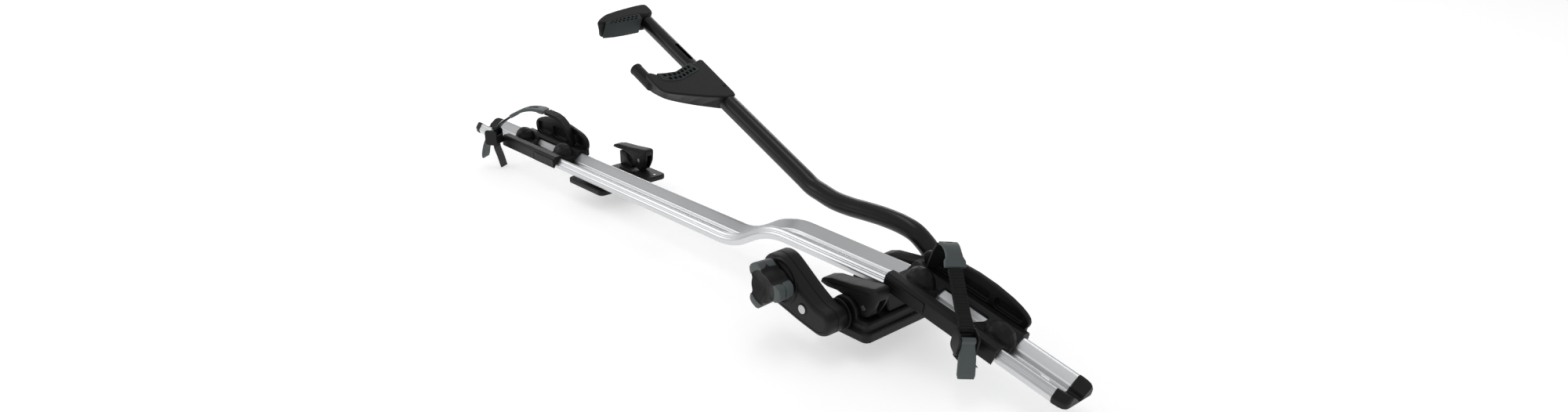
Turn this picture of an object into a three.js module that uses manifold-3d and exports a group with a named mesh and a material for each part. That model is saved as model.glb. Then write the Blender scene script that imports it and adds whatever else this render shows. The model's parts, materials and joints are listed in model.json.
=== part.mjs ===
// Upright roof bicycle carrier: a bent aluminium rail on two feet, a goose-necked arm with a pair of
// frame jaws, and two wheel holders with ratchet straps. Millimetres, +Z up, +X towards the nose.
// The origin is the centre of the front foot's underside.
import * as THREE from 'three';
import { mergeVertices } from 'three/addons/utils/BufferGeometryUtils.js';
import Module from 'manifold-3d';

// ---- driving dimensions ----
const gap = 0.4;                    // clearance between pieces that touch

const rail = {
  rearEnd: -1096,                   // X of the metal's rear end
  bendStart: -328,                  // X where the S-bend leaves the rear run
  underside: 16,                    // height of the rear run above the bars
  rise: 46.8,                       // how far the S-bend lifts the rail
  bendAngle: 29.5,                  // steepest slope of the S-bend, degrees
  bendRadius: 137,
  midSlope: 0.9,                    // the raised run falls a little, degrees
  noseBend: 58,                     // X where the nose starts to fall
  noseAngle: 12.6,                  // degrees
  noseRadius: 100,
  noseRun: 250,                     // length of the falling run
  halfWidth: 31.8,
  height: 18.6,
  ridge: 23.5,                      // half the distance between the two ridges
  shoulder: 7.6,                    // height of the outer wall
  valley: 4.5,                      // half width of the channel floor
  lip: 6.8,                         // half distance between the channel's upper edges
  lipHeight: 7.4,
  wall: 2.2,
};
const cap = { length: 22, skin: 0.5 };
const drain = { length: 15, width: 7, fromEnd: 24 };

const bar = { spread: 706 };        // distance between the two roof bars
const foot = {
  length: 103,
  width: 174,
  pad: 3,
  padInset: 5,
  recess: 1.2,                      // the skirt stops this far above the bars
  skirt: 16,
  platform: 28,
  step: 6,
  corner: 10,
};
const bridge = { length: 78, width: 62, slant: 8 };
const rearFoot = { length: 109, near: -35, far: 111, thickness: 11, corner: 10, block: 32 };

const pivot = { height: 30, shaft: 12.5, boss: 24, bossLength: 7 };
const arm = {
  angle: 24.5,                      // rest angle above the rail, degrees
  radius: 14.7,
  wall: 1.4,
  sideAtFoot: 103,                  // Y of the tube where it leaves the pivot
  sideAtJaws: 70,                   // Y of the straight run
  drop: 12.9,                       // the straight run passes this far under the pivot axis
  jawStation: 455,                  // distance along the arm from the pivot to the fixed jaw
  elbow: 232,                       // distance along the arm where the straight run starts
  end: 541,
};
const slider = { radius: 12.5, wall: 1.5, inner: 446, outer: 716 };
const jaw = { half: 15.5, movingHalf: 16.5, finger: 10.4 };
const housing = {
  back: -89,
  split: -108,
  face: -127,
  knobStation: 83,
  knobRise: 1,
  wall: 3,
  middle: -58,                      // X about which a smaller outline is drawn
  halfLength: 76,
  halfHeight: 42,
  lean: 0.12,                       // a smaller outline sinks this share of its inset
};
const knob = { depth: 32, hub: 23, reach: 36.5, grip: 10, lobe: 12, spindle: 6, firstLobe: 144.5 };
const lock = { radius: 6.6, station: 32, rise: -5, proud: 1.2 };
const lever = { pin: 4, boltRadius: 3.2 };
const frontLever = { x: 28, side: 59, height: 15, tall: 0.92, width: 24 };
const rearLever = { x: 5.5, side: 92, height: 19.5, tall: 0.68, width: 18 };

const holder = {
  length: 191,
  near: -37,
  far: 36,
  top: 22.5,
  skirt: 0.5,                       // lower edge of the side walls
  noseSkirt: -2,                    // deeper on the nose, to reach past the bend
  noseWing: 0.88,                   // the front wing is this much lower
  rearX: -801,                      // X of the rear holder's front end
  noseOffset: -38,                  // where the front holder starts, along the nose run
  plate: 73,
  plateDepth: 1.4,
  domeInset: 26,
  noseDomes: 6,                     // the front holder's domes sit this much further forward
  domeRadius: 23,
  domeTop: 37,
  wing: 8,
};
const strap = { width: 25, thickness: 3.6, padThickness: 7, buckleWidth: 28, axle: 2 };

// ---- materials ----
function finish(color, roughness, metalness = 0) {
  return new THREE.MeshStandardMaterial({ color, roughness, metalness });
}
const aluminium = finish(0xc4c6c8, 0.32, 0.9);
const blackPlastic = finish(0x18191a, 0.55);
const blackTube = finish(0x0e0e0f, 0.28, 0.3);
const rubber = finish(0x141515, 0.85);
const greyPlastic = finish(0x646c6c, 0.5);
const jawRubber = finish(0x3c4444, 0.8);
const steel = finish(0xb9bbbd, 0.3, 0.9);

// ---- helpers ----
const wasm = await Module();
wasm.setup();
const model = new THREE.Group();
const rad = THREE.MathUtils.degToRad;
const v2 = (x, y) => new THREE.Vector2(x, y);
const v3 = (x, y, z) => new THREE.Vector3(x, y, z);

function add(name, geometry, material, parent = model) {
  const mesh = new THREE.Mesh(geometry, material);
  mesh.name = name;
  parent.add(mesh);
  return mesh;
}

function toSolid(geometry) {
  const bare = geometry.clone();
  for (const key of ['normal', 'uv']) {
    bare.deleteAttribute(key);
  }
  const merged = mergeVertices(bare, 1e-3);
  return new wasm.Manifold(new wasm.Mesh({
    numProp: 3,
    vertProperties: new Float32Array(merged.attributes.position.array),
    triVerts: new Uint32Array(merged.index.array),
  }));
}

function toGeometry(solid) {
  const mesh = solid.getMesh();
  const geometry = new THREE.BufferGeometry();
  geometry.setAttribute('position', new THREE.BufferAttribute(new Float32Array(mesh.vertProperties), 3));
  geometry.setIndex(new THREE.BufferAttribute(new Uint32Array(mesh.triVerts), 1));
  return geometry;
}

const cut = (body, ...tools) => toGeometry(tools.reduce((s, t) => s.subtract(toSolid(t)), toSolid(body)));
const join = (body, ...more) => toGeometry(more.reduce((s, t) => s.add(toSolid(t)), toSolid(body)));

const outline = (points) => new THREE.Shape(points.map(([x, y]) => v2(x, y)));

// a rectangle with rounded corners, or a slot when the corner is half its width
function roundedBox(x0, y0, x1, y1, r) {
  const s = new THREE.Shape();
  s.absarc(x1 - r, y1 - r, r, 0, Math.PI / 2);
  s.absarc(x0 + r, y1 - r, r, Math.PI / 2, Math.PI);
  s.absarc(x0 + r, y0 + r, r, Math.PI, 1.5 * Math.PI);
  s.absarc(x1 - r, y0 + r, r, 1.5 * Math.PI, 2 * Math.PI);
  return s;
}

const disc = (x, y, r) => new THREE.Shape().absarc(x, y, r, 0, 2 * Math.PI);

// a prism of the shape between two heights, with chamfered edges
function alongZ(shape, z0, z1, chamfer = 0, curveSegments = 5) {
  const geometry = new THREE.ExtrudeGeometry(shape, {
    depth: z1 - z0 - 2 * chamfer,
    bevelEnabled: chamfer > 0,
    bevelThickness: chamfer,
    bevelSize: chamfer,
    bevelOffset: -chamfer,
    bevelSegments: 1,
    curveSegments,
  });
  return geometry.translate(0, 0, z0 + chamfer);
}

// the same with the shape in the XZ plane, between two sides
function alongY(shape, y0, y1, chamfer = 0, curveSegments = 5) {
  return alongZ(shape, -y1, -y0, chamfer, curveSegments).rotateX(Math.PI / 2);
}

// the same with the shape's x along Y and its y along Z, between two stations
function alongX(shape, x0, x1, chamfer = 0, curveSegments = 5) {
  const turn = new THREE.Matrix4().makeBasis(v3(0, 1, 0), v3(0, 0, 1), v3(1, 0, 0));
  return alongZ(shape, x0, x1, chamfer, curveSegments).applyMatrix4(turn);
}

const pinY = (x, z, r, y0, y1, sides = 20) => alongY(disc(x, z, r), y0, y1, 0, sides / 2);
const pinZ = (x, y, r, z0, z1, sides = 16) => alongZ(disc(x, y, r), z0, z1, 0, sides / 2);

// a closed solid through rings of equal length; each ring runs counterclockwise seen from ahead, and
// capFaces are the triangles that close it
function loft(rings, capFaces) {
  const n = rings[0].length;
  const last = (rings.length - 1) * n;
  const index = [];
  for (let i = 0; i < last; i += n) {
    for (let j = 0; j < n; j++) {
      const a = i + j;
      const b = i + ((j + 1) % n);
      index.push(a, b, a + n, b, b + n, a + n);
    }
  }
  for (const [a, b, c] of capFaces) {
    index.push(a, c, b, last + a, last + b, last + c);
  }
  const geometry = new THREE.BufferGeometry();
  const positions = rings.flat().flatMap((p) => [p.x, p.y, p.z]);
  geometry.setAttribute('position', new THREE.Float32BufferAttribute(positions, 3));
  geometry.setIndex(index);
  return geometry;
}

// the same for outlines that stand across X, in either direction
function loftAlongX(sections) {
  const turned = THREE.ShapeUtils.area(sections[0].map((p) => v2(p.y, p.z))) < 0;
  const rings = turned ? sections.map((ring) => ring.slice().reverse()) : sections;
  const faces = THREE.ShapeUtils.triangulateShape(rings[0].map((p) => v2(p.y, p.z)), []);
  return loft(rings, faces);
}

// a band of constant thickness that follows a smooth line in the XZ plane
function band(points, thickness, width, steps) {
  const line = new THREE.SplineCurve(points.map(([x, z]) => v2(x, z)));
  const corners = [[-1, -1], [1, -1], [1, 1], [-1, 1]];
  const rings = [];
  for (let i = 0; i <= steps; i++) {
    const p = line.getPointAt(i / steps);
    const t = line.getTangentAt(i / steps).multiplyScalar(thickness / 2);
    rings.push(corners.map(([side, up]) => v3(p.x - up * t.y, (side * width) / 2, p.y + up * t.x)));
  }
  return loft(rings, [[0, 1, 2], [0, 2, 3]]);
}

// lean everything below a height sideways, as a loose tail hangs
function driftBelow(geometry, height, rate) {
  const p = geometry.attributes.position;
  for (let i = 0; i < p.count; i++) {
    p.setY(i, p.getY(i) + rate * Math.max(0, height - p.getZ(i)));
  }
  return geometry;
}

// mirror across the YZ plane, keeping the faces outward
function mirrored(geometry) {
  const flipped = geometry.index ? geometry.toNonIndexed() : geometry.clone();
  flipped.scale(-1, 1, 1);
  const p = flipped.attributes.position;
  for (let i = 0; i < p.count; i += 3) {
    const b = v3().fromBufferAttribute(p, i + 1);
    const c = v3().fromBufferAttribute(p, i + 2);
    p.setXYZ(i + 1, c.x, c.y, c.z);
    p.setXYZ(i + 2, b.x, b.y, b.z);
  }
  flipped.deleteAttribute('normal');
  return flipped;
}

// ---- rail ----
// the run of the rail's underside: straight, S-bend up, straight, nose down
function railStations() {
  const stations = [];
  let x = rail.rearEnd;
  let z = rail.underside;
  let slope = 0;
  const run = (length) => {
    x += length * Math.cos(slope);
    z += length * Math.sin(slope);
    stations.push({ x, z, slope });
  };
  const bend = (turn, radius, steps) => {
    const part = turn / steps;
    for (let i = 0; i < steps; i++) {
      slope += part / 2;
      x += 2 * radius * Math.sin(Math.abs(part) / 2) * Math.cos(slope);
      z += 2 * radius * Math.sin(Math.abs(part) / 2) * Math.sin(slope);
      slope += part / 2;
      stations.push({ x, z, slope });
    }
  };
  const up = rad(rail.bendAngle);
  const mid = -rad(rail.midSlope);
  const nose = -rad(rail.noseAngle);
  const lift = rail.bendRadius * (1 - Math.cos(up)) + rail.bendRadius * (Math.cos(mid) - Math.cos(up));
  stations.push({ x, z, slope });
  run(rail.bendStart - rail.rearEnd);
  bend(up, rail.bendRadius, 6);
  run((rail.rise - lift) / Math.sin(up));
  bend(mid - up, rail.bendRadius, 7);
  const tangent = rail.noseRadius * Math.tan((mid - nose) / 2);
  run((rail.noseBend - tangent - x) / Math.cos(mid));
  bend(nose - mid, rail.noseRadius, 3);
  run(rail.noseRun - tangent);
  return stations;
}
const stations = railStations();
const noseTip = stations.at(-1);
const noseStart = stations.at(-2);

// height of the rail's underside above the bars at X
function undersideAt(x) {
  const i = Math.max(1, stations.findIndex((s) => s.x >= x));
  const [a, b] = [stations[i - 1], stations[i]];
  return a.z + ((b.z - a.z) * (x - a.x)) / (b.x - a.x);
}

// half of the rail's upper surface, from the middle of the channel to the foot of the outer wall
const upperHalf = [
  [0, rail.wall],
  [rail.valley, rail.wall],
  [rail.lip, rail.lipHeight],
  [rail.lip + 2.4, rail.lipHeight + 1.5],
  [rail.ridge - 2.8, rail.height - 1.2],
  [rail.ridge, rail.height],
  [rail.ridge + 2, rail.height - 1.3],
  [rail.halfWidth - 0.5, rail.shoulder + 1.5],
  [rail.halfWidth, rail.shoulder],
  [rail.halfWidth - 1.2, 0],
];
// and of its lower surface, back from the outer wall: the lobes are open underneath
const lowerHalf = [
  [rail.halfWidth - 7.2, 0],
  [rail.halfWidth - 7.2, 1.8],
  [rail.halfWidth - 1.2 - rail.wall, 1.8],
  [rail.halfWidth - rail.wall, rail.shoulder],
  [rail.ridge + 1, rail.height - 1.3 - rail.wall],
  [rail.ridge - 1, rail.height - 0.6 - rail.wall],
  [rail.lip + rail.wall, rail.lipHeight - 0.6],
  [rail.valley + rail.wall, 0],
];
const mirror = (points) => points.map(([y, z]) => [-y, z]);
const railSection = [
  ...upperHalf,
  ...lowerHalf,
  ...mirror(lowerHalf).reverse(),
  ...mirror(upperHalf).reverse(),
]
  .slice(0, -1);

const place = (s, [y, z]) => v3(s.x - z * Math.sin(s.slope), y, s.z + z * Math.cos(s.slope));
const railBody = loftAlongX(stations.map((s) => railSection.map((p) => place(s, p))));
const drainHole = alongZ(
  roundedBox(-drain.length / 2, -drain.width / 2, drain.length / 2, drain.width / 2, drain.width / 2 - 0.01),
  -5,
  12,
);
drainHole.rotateY(rad(rail.noseAngle));
drainHole.translate(
  noseTip.x - (drain.fromEnd + drain.length / 2) * Math.cos(rad(rail.noseAngle)),
  0,
  noseTip.z + (drain.fromEnd + drain.length / 2) * Math.sin(rad(rail.noseAngle)),
);
add('rail', cut(railBody, drainHole), aluminium);

// a two-lobed plug over each end, with its outer corners rounded off
function endCap(end, direction) {
  const half = upperHalf.slice(1).map(([y, z]) => [y + cap.skin, z + (z > 0 ? cap.skin : -cap.skin)]);
  const ring = [...mirror(half), ...half.slice().reverse()];
  const shrink = [[0, 1], [0.45, 0.985], [0.75, 0.94], [0.92, 0.86], [1, 0.74]];
  const rings = shrink.map(([t, k]) => ring.map(([y, z]) => {
    const along = direction * (gap + t * cap.length);
    const p = place(end, [y * k, 9 + (z - 9) * k]);
    return v3(p.x + along * Math.cos(end.slope), p.y, p.z + along * Math.sin(end.slope));
  }));
  return loftAlongX(direction > 0 ? rings : rings.reverse());
}
add('front_end_cap', endCap(noseTip, 1), blackPlastic);
add('rear_end_cap', endCap(stations[0], -1), blackPlastic);

// ---- feet ----
const rearX = -bar.spread;
const halfFoot = [foot.length / 2, foot.width / 2];
add('front_foot_pad', alongZ(
  roundedBox(
    -halfFoot[0] + foot.padInset,
    -halfFoot[1] + foot.padInset,
    halfFoot[0] - foot.padInset,
    halfFoot[1] - foot.padInset,
    foot.corner - foot.padInset,
  ), 0, foot.pad), rubber);

// each clamp lever: a fork over a yoke, a pin through both, and a bolt down to the bar
const frontLevers = [
  { name: 'front_near', y: -frontLever.side },
  { name: 'front_far', y: frontLever.side },
].map((l) => ({ ...l, ...frontLever, deck: foot.platform }));
const rearLevers = [
  { name: 'rear', y: rearLever.side, ...rearLever, x: rearX + rearLever.x, deck: rearFoot.thickness },
];

const boltHole = (l) => pinZ(l.x, l.y, lever.boltRadius + gap, -20, l.deck + 20);
const pivotClear = pinY(0, pivot.height, pivot.shaft + gap, -foot.width, foot.width, 28);

// the rubber sole sits in a shallow pocket of the base above it
const pocket = (x0, y0, x1, y1, r) => alongZ(
  roundedBox(
    x0 + foot.padInset - gap,
    y0 + foot.padInset - gap,
    x1 - foot.padInset + gap,
    y1 - foot.padInset + gap,
    r,
  ),
  -foot.pad,
  foot.pad + gap,
);
const skirt = alongZ(
  roundedBox(-halfFoot[0], -halfFoot[1], halfFoot[0], halfFoot[1], foot.corner),
  foot.recess,
  foot.skirt,
  2,
);
const deck = alongZ(
  roundedBox(
    -halfFoot[0] + foot.step,
    -halfFoot[1] + foot.step,
    halfFoot[0] - foot.step,
    halfFoot[1] - foot.step,
    foot.corner - 3,
  ),
  foot.skirt - 3,
  foot.platform,
  3,
);
const bossSpan = [foot.width / 2 - foot.step - 2 - pivot.bossLength, foot.width / 2 - foot.step - 2];
const nearBoss = pinY(0, pivot.height, pivot.boss, -bossSpan[1], -bossSpan[0], 28);
const farBoss = pinY(0, pivot.height, pivot.boss, bossSpan[0], bossSpan[1], 28);
const belowDeck = alongZ(roundedBox(-80, -120, 80, 120, 1), -60, foot.skirt);
add('front_foot_base', cut(
  join(skirt, deck, cut(nearBoss, belowDeck), cut(farBoss, belowDeck)),
  pivotClear,
  pocket(-halfFoot[0], -halfFoot[1], halfFoot[0], halfFoot[1], foot.corner - foot.padInset),
  ...frontLevers.map(boltHole),
), blackPlastic);

const bridgeEnd = bridge.length / 2 - bridge.slant;
add('front_bridge', cut(
  alongY(
    outline([
      [-bridge.length / 2, foot.platform + gap],
      [bridge.length / 2, foot.platform + gap],
      [bridgeEnd, undersideAt(bridgeEnd) - gap],
      [-bridgeEnd, undersideAt(-bridgeEnd) - gap],
    ]),
    -bridge.width / 2,
    bridge.width / 2,
    2,
  ),
  pivotClear,
), blackPlastic);

add('rear_foot_pad', alongZ(
  roundedBox(
    rearX - rearFoot.length / 2 + foot.padInset,
    rearFoot.near + foot.padInset,
    rearX + rearFoot.length / 2 - foot.padInset,
    rearFoot.far - foot.padInset,
    rearFoot.corner - 4,
  ), 0, foot.pad), rubber);
add('rear_foot_base', cut(
  alongZ(
    roundedBox(
      rearX - rearFoot.length / 2,
      rearFoot.near,
      rearX + rearFoot.length / 2,
      rearFoot.far,
      rearFoot.corner,
    ),
    foot.recess,
    rearFoot.thickness,
    1.5,
  ),
  pocket(
    rearX - rearFoot.length / 2,
    rearFoot.near,
    rearX + rearFoot.length / 2,
    rearFoot.far,
    rearFoot.corner - 4,
  ),
  ...rearLevers.map(boltHole),
), blackPlastic);
add('rear_rail_block', alongZ(
  roundedBox(rearX - rearFoot.block, -14, rearX + rearFoot.block, 24, 6),
  rearFoot.thickness + gap,
  rail.underside - gap,
), blackPlastic);

function clampLever(l) {
  const group = new THREE.Group();
  const z = l.deck + l.height;
  group.position.set(l.x, l.y, z);
  model.add(group);
  const half = l.width / 2;
  const fork = l.width / 4;
  const floor = -l.height;
  const handle = outline([
    [-82, 12 * l.tall],
    [-78, 20 * l.tall],
    [-62, 26 * l.tall],
    [-20, 31 * l.tall],
    [20, 38 * l.tall],
    [26, 35 * l.tall],
    [26, 18],
    [21, 6],
    [10, -9],
    [-12, -9],
    [-17, -3],
    [-24, 3],
    [-48, 9],
    [-68, 8],
  ]);
  const slot = alongY(
    roundedBox(-17, floor - 10, 40, 17, 4),
    -fork - gap,
    fork + gap,
  );
  const bore = pinY(0, 0, lever.pin + gap, -half - 5, half + 5);
  add(`${l.name}_lever`, cut(alongY(handle, -half, half, 1.5), slot, bore), blackPlastic, group);
  const yoke = alongY(
    roundedBox(-10, floor + gap, 10, 9, 8),
    -fork,
    fork,
  );
  const boltBore = pinZ(0, 0, lever.boltRadius + gap, floor - 10, -6);
  add(`${l.name}_lever_yoke`, cut(yoke, bore, boltBore), blackPlastic, group);
  add(`${l.name}_lever_pin`, pinY(0, 0, lever.pin, -half + 0.5, half - 0.5), steel, group);
  add(`${l.name}_clamp_bolt`, pinZ(0, 0, lever.boltRadius, foot.pad + 1.5 - z, -7), steel, group);
}
frontLevers.forEach(clampLever);
rearLevers.forEach(clampLever);

// ---- arm, knob and jaws ----
// everything here is drawn with the arm lying along -X and the pivot at the origin, then turned up
const armGroup = new THREE.Group();
armGroup.position.set(0, 0, pivot.height);
armGroup.rotation.y = rad(arm.angle);
model.add(armGroup);
const toArm = new THREE.Matrix4().makeRotationY(-rad(arm.angle));

// stations run from the pivot out to the jaws; the group's X is their negative
// the goose-neck as it lies at rest, [x, distance outside the straight run, height above the pivot]
const gooseNeck = [
  [0, 33, 14],
  [0, 33, 20],
  [-0.5, 33, 26],
  [-5, 33, 36],
  [-16, 32, 46],
  [-31, 29, 57],
  [-53, 25, 64],
  [-84, 19, 68.5],
  [-114, 13, 70],
  [-142, 8, 70.5],
  [-171, 3, 73.5],
  [-198, 0.6, 80],
].map(([x, side, z]) => v3(x, arm.sideAtJaws + side, z).applyMatrix4(toArm));
const bendLine = new THREE.CatmullRomCurve3([
  ...gooseNeck,
  ...[arm.elbow, arm.elbow + 25, arm.end - 20, arm.end].map((u) => v3(-u, arm.sideAtJaws, -arm.drop)),
], false, 'centripetal');
const ringShape = (outer, inner) => {
  const s = disc(0, 0, outer);
  s.holes.push(disc(0, 0, inner));
  return s;
};
add('arm_tube', new THREE.ExtrudeGeometry(ringShape(arm.radius, arm.radius - arm.wall), {
  steps: 40,
  bevelEnabled: false,
  curveSegments: 7,
  extrudePath: bendLine,
}), blackTube, armGroup);

const armSocket = alongY(disc(0, 0, 24), arm.sideAtFoot - 15, arm.sideAtFoot + 15, 2, 12);
const tubeSpace = new THREE.CylinderGeometry(arm.radius + 0.8, arm.radius + 0.8, 60, 24)
  .rotateX(Math.PI / 2)
  .translate(0, arm.sideAtFoot, 13 + 30)
  .applyMatrix4(toArm);
const shaftSpan = [housing.back - gap - 6, arm.sideAtFoot - 15 - gap];
add('arm_socket', cut(armSocket, tubeSpace), blackPlastic, armGroup);
add('pivot_shaft', pinY(0, 0, pivot.shaft, shaftSpan[0], shaftSpan[1], 28), blackTube, armGroup);

// knob housing: two shells that meet at the split, round a drum on the knob's spindle
const knobAt = [-housing.knobStation, housing.knobRise];
// its outline as it lies at rest, relative to the pivot
const housingLine = [
  [14, 15],
  [-5, 19],
  [-26, 31],
  [-70, 62],
  [-80, 67.5],
  [-92, 69],
  [-104, 66],
  [-111, 58],
  [-115, 40],
  [-114, 20],
  [-107, 6],
  [-98, 0],
  [-67, -7.5],
  [-43, -14],
  [-12, -20.5],
  [0, -22.5],
  [13, -18],
  [20, -5],
  [20, 6],
];
function housingShape(inset) {
  const turned = housingLine.map(([x, z]) => v3(x, 0, z).applyMatrix4(toArm));
  const keepLength = 1 - inset / housing.halfLength;
  const keepHeight = 1 - inset / housing.halfHeight;
  return outline(turned.map((p) => [
    housing.middle + (p.x - housing.middle) * keepLength,
    p.z * keepHeight - inset * housing.lean,
  ]));
}
const cavity = (y0, y1) => alongY(housingShape(housing.wall), y0, y1, 0, 8);
const spindleBore = pinY(...knobAt, knob.spindle + gap, housing.face - 5, housing.back + 5);
const lockAt = [-lock.station, lock.rise];
const lockBore = pinY(...lockAt, lock.radius + gap, housing.face - 5, housing.split - 1);
const shaftBore = pinY(0, 0, pivot.shaft + gap, housing.back - 8, housing.back + 5, 28);
add('housing_body', cut(
  alongY(housingShape(0), housing.split + gap / 2, housing.back, 3, 8),
  cavity(housing.split - 5, housing.back - 8),
  shaftBore,
), blackPlastic, armGroup);
add('housing_cover', cut(
  alongY(housingShape(0), housing.face, housing.split - gap / 2, 3, 8),
  cavity(housing.face + housing.wall, housing.split + 5),
  spindleBore,
  lockBore,
), blackPlastic, armGroup);
add('lock_cylinder', pinY(...lockAt, lock.radius, housing.face - lock.proud, housing.split - 3), steel, armGroup);
add('knob_spindle', pinY(
  ...knobAt,
  knob.spindle,
  housing.face - 14,
  housing.back - 8 - gap,
), steel, armGroup);
add('cable_drum', cut(
  pinY(...knobAt, 20, housing.split + 2, housing.back - 10, 24),
  pinY(...knobAt, knob.spindle + gap, housing.face, housing.back + 5),
), greyPlastic, armGroup);

// three-lobed knob: a hub with three spokes, each ending in a grey grip
const knobGroup = new THREE.Group();
knobGroup.position.set(knobAt[0], 0, knobAt[1]);
armGroup.add(knobGroup);
const knobBack = housing.face - 1.2;
const knobFront = knobBack - knob.depth;
const spokeAngles = [0, 120, 240].map((a) => rad(knob.firstLobe + a));
const gripStart = knob.reach - knob.grip;
const spokes = spokeAngles.map((a) => {
  const spoke = alongY(roundedBox(0, -knob.lobe, gripStart, knob.lobe, 3), knobFront, knobBack - 5, 2, 1);
  return spoke.rotateY(-a);
});
const spindleSocket = pinY(0, 0, knob.spindle + gap, housing.face - 14 - gap, housing.face + 5);
add('knob', cut(
  join(alongY(disc(0, 0, knob.hub), knobFront, knobBack, 2, 12), ...spokes),
  spindleSocket,
), blackPlastic, knobGroup);
spokeAngles.forEach((a, i) => {
  const grip = alongY(
    roundedBox(gripStart + gap, -knob.lobe - 0.5, knob.reach, knob.lobe + 0.5, 4),
    knobFront - 0.5,
    knobBack - 5,
    2,
    2,
  );
  add(`knob_grip_${i + 1}`, grip.rotateY(-a), greyPlastic, knobGroup);
});

// the fixed jaw: a flat moulding round the arm tube, its finger reaching across the rail
const jawGroup = new THREE.Group();
jawGroup.position.set(-arm.jawStation, arm.sideAtJaws, -arm.drop);
armGroup.add(jawGroup);
const flat = (points, thickness, chamfer = 2) => alongZ(
  outline(points.map(([u, y]) => [-u, y])),
  -thickness,
  thickness,
  chamfer,
);
const alongArm = (r, u0, u1, sides = 24) => alongX(disc(0, 0, r), -u1, -u0, 0, sides / 2);
// jaw outlines as [station, Y], both measured from the straight run of the arm
const jawBody = flat([
  [-5, 6],
  [-3, 11],
  [4, 13],
  [96, 15],
  [99, 10],
  [91, -12],
  [86, -30],
  [79, -54],
  [82, -76],
  [88, -86],
  [90, -106],
  [66, -104],
  [50, -98],
  [37, -86],
  [23, -66],
  [8, -40],
  [-4, -8],
], jaw.half, 3);
const finger = alongArm(jaw.finger, 70, 127, 16).translate(0, -98, -1.3);
const clearTube = alongArm(arm.radius + gap, -30, arm.end - arm.jawStation + gap);
const clearSlider = alongArm(slider.radius + gap, -30, 150);
add('fixed_jaw', cut(join(jawBody, finger), clearTube, clearSlider), blackPlastic, jawGroup);
add('fixed_jaw_pad', flat([
  [91.7, -17.5],
  [86.5, -32],
  [79.8, -54],
  [82.4, -73.5],
  [86, -72],
  [84.5, -54],
  [90, -36],
  [94.5, -22],
], jaw.half - 3, 0), jawRubber, jawGroup);

const slideGroup = new THREE.Group();
slideGroup.position.copy(jawGroup.position);
armGroup.add(slideGroup);
const sliderSpan = [slider.inner - arm.jawStation, slider.outer - arm.jawStation];
const tube = cut(
  alongArm(slider.radius, ...sliderSpan),
  alongArm(slider.radius - slider.wall, sliderSpan[0] - 5, sliderSpan[1] + 5),
);
const slotCut = alongZ(roundedBox(-152, -3.5, -106, 3.5, 3), 4, 20);
add('slider_tube', cut(tube, slotCut), blackTube, slideGroup);
const movingBody = flat([
  [233, -87],
  [234, -30],
  [226, -4],
  [233, 10],
  [242, 14],
  [264, 14],
  [269, 9],
  [266, -50],
  [261, -78],
  [253, -89],
  [241, -93],
], jaw.movingHalf, 4);
const sliderSpace = alongArm(slider.radius + gap, 150, sliderSpan[1] + 1);
add('moving_jaw', cut(movingBody, sliderSpace), blackPlastic, slideGroup);
add('moving_jaw_pad', flat([
  [232.6, -87],
  [233.6, -30],
  [229.5, -17],
  [226.5, -20],
  [227, -50],
  [227, -82],
], jaw.movingHalf - 4, 0), jawRubber, slideGroup);

// ---- wheel holders ----
const clearOf = ([y, z]) => [y + (Math.abs(y) > rail.ridge ? gap : -gap) * Math.sign(y), z + gap];
const railSkin = [...mirror(upperHalf).reverse(), ...upperHalf.slice(1)].map(clearOf);

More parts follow.
